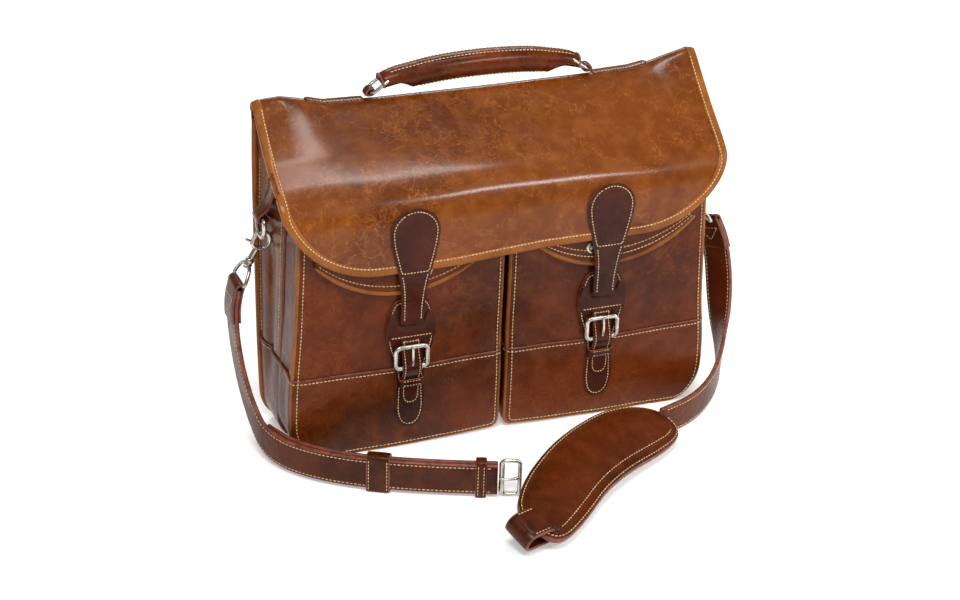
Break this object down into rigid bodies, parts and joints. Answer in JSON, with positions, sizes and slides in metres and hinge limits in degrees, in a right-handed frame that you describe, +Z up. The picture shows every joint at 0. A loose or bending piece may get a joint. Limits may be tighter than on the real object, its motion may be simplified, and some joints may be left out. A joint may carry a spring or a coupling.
{
  "type": "leather briefcase",
  "caption": "Flap-over leather briefcase with front pockets, buckled pear-shaped closure tabs, a ringed top handle and a clip-on shoulder strap with a curved pad.",
  "frame": {"origin": "middle of the footprint, on the surface the case stands on", "axes": "+X to the right when facing the front, front faces -Y, +Z up"},
  "size_m": [0.511, 0.3241, 0.3555],
  "materials": {
    "tan_leather": "glossy pull-up leather, tan to cognac, cream stitching",
    "binding_leather": "glossy ochre edge binding",
    "band_leather": "glossy red-brown leather",
    "dark_leather": "glossy dark brown leather, pink-brown cut edges",
    "strap_leather": "glossy chestnut strap leather",
    "nickel": "satin nickel",
    "board": "stiff base board"
  },
  "bodies": {
    "case": {"back_panel": "tan_leather", "back_binding": "binding_leather", "base_wrap": "band_leather", "gusset_left": "tan_leather", "gusset_right": "tan_leather", "front_wall": "tan_leather", "base_board": "board", "ridge_yoke": "tan_leather", "pocket_left": "tan_leather", "pocket_right": "tan_leather", "pocket_band_left": "band_leather", "pocket_band_right": "band_leather", "snap_studs": "nickel", "closure_shield_left": "dark_leather", "closure_shield_right": "dark_leather", "closure_bridge_left": "tan_leather", "closure_bridge_right": "tan_leather", "closure_strap_left": "dark_leather", "closure_strap_right": "dark_leather", "closure_keepers": "dark_leather", "buckle_frame_left": "nickel", "buckle_frame_right": "nickel", "handle_chapes": "dark_leather", "d_rings": "nickel", "d_ring_tabs": "tan_leather"},
    "flap": {"main_flap": "tan_leather", "flap_binding": "binding_leather", "tab_head_left": "dark_leather", "tab_head_right": "dark_leather"},
    "tab_left": {"tab_tongue_left": "dark_leather"},
    "tab_right": {"tab_tongue_right": "dark_leather"},
    "pocket_lid_left": {"pocket_flap_left": "tan_leather", "snap_cap_left": "nickel"},
    "pocket_lid_right": {"pocket_flap_right": "tan_leather", "snap_cap_right": "nickel"},
    "prong_left": {"buckle_prong_left": "nickel"},
    "prong_right": {"buckle_prong_right": "nickel"},
    "handle": {"handle_grip": "tan_leather", "handle_rings": "nickel", "handle_end_loops": "dark_leather", "handle_tabs": "dark_leather"},
    "shoulder_strap": {"strap_left_drop": "strap_leather", "strap_left_run": "strap_leather", "strap_tail": "strap_leather", "strap_right_rise": "strap_leather", "strap_under_pad": "strap_leather", "strap_keeper_wide": "strap_leather", "strap_keeper_small": "strap_leather", "strap_buckle": "nickel", "strap_buckle_roller": "nickel", "shoulder_pad": "strap_leather", "pad_loop": "strap_leather", "hook_swivel_left": "nickel", "hook_swivel_right": "nickel"},
    "hook_left": {"hook_body_left": "nickel"},
    "hook_right": {"hook_body_right": "nickel"},
    "gate_left": {"hook_gate_left": "nickel"},
    "gate_right": {"hook_gate_right": "nickel"}
  },
  "joints": [
    {"name": "flap_hinge", "type": "hinge", "parent": "case", "child": "flap", "pos_m": [0, 0.03675, 0.3195], "axis": [-1, 0, 0], "range_deg": [0, 105]},
    {"name": "tab_left_lift", "type": "hinge", "parent": "flap", "child": "tab_left", "pos_m": [-0.095, -0.05725, 0.18935], "axis": [-1, 0, 0], "range_deg": [0, 45]},
    {"name": "tab_right_lift", "type": "hinge", "parent": "flap", "child": "tab_right", "pos_m": [0.095, -0.05725, 0.18935], "axis": [-1, 0, 0], "range_deg": [0, 45]},
    {"name": "pocket_lid_left_hinge", "type": "hinge", "parent": "case", "child": "pocket_lid_left", "pos_m": [-0.102, -0.003, 0.256], "axis": [-1, 0, 0], "range_deg": [0, 55]},
    {"name": "pocket_lid_right_hinge", "type": "hinge", "parent": "case", "child": "pocket_lid_right", "pos_m": [0.102, -0.003, 0.256], "axis": [-1, 0, 0], "range_deg": [0, 55]},
    {"name": "prong_left_turn", "type": "hinge", "parent": "case", "child": "prong_left", "pos_m": [-0.095, -0.0512, 0.08965], "axis": [1, 0, 0], "range_deg": [0, 95]},
    {"name": "prong_right_turn", "type": "hinge", "parent": "case", "child": "prong_right", "pos_m": [0.095, -0.0512, 0.08965], "axis": [1, 0, 0], "range_deg": [0, 95]},
    {"name": "handle_tilt", "type": "hinge", "parent": "case", "child": "handle", "pos_m": [0, 0.044, 0.3265], "axis": [-1, 0, 0], "range_deg": [-35, 35]},
    {"name": "strap_swing", "type": "hinge", "parent": "case", "child": "shoulder_strap", "pos_m": [0, 0.029, 0.216], "axis": [-1, 0, 0], "range_deg": [0, 80]},
    {"name": "hook_left_swivel", "type": "hinge", "parent": "shoulder_strap", "child": "hook_left", "pos_m": [-0.214, 0.029, 0.199], "axis": [-0.5, 0, -0.866], "range_deg": [-12, 12]},
    {"name": "hook_right_swivel", "type": "hinge", "parent": "shoulder_strap", "child": "hook_right", "pos_m": [0.214, 0.029, 0.199], "axis": [0.5, 0, -0.866], "range_deg": [-12, 12]},
    {"name": "gate_left_press", "type": "hinge", "parent": "hook_left", "child": "gate_left", "pos_m": [-0.22278, 0.029, 0.1976], "axis": [0, 1, 0], "range_deg": [0, 7], "stiffness_Nm_per_rad": 0.02},
    {"name": "gate_right_press", "type": "hinge", "parent": "hook_right", "child": "gate_right", "pos_m": [0.22278, 0.029, 0.1976], "axis": [0, -1, 0], "range_deg": [0, 7], "stiffness_Nm_per_rad": 0.02}
  ],
  "couplings": [
    {"joint": "pocket_lid_left_hinge", "follows": "flap_hinge", "ratio": 0.5},
    {"joint": "pocket_lid_right_hinge", "follows": "flap_hinge", "ratio": 0.5}
  ]
}
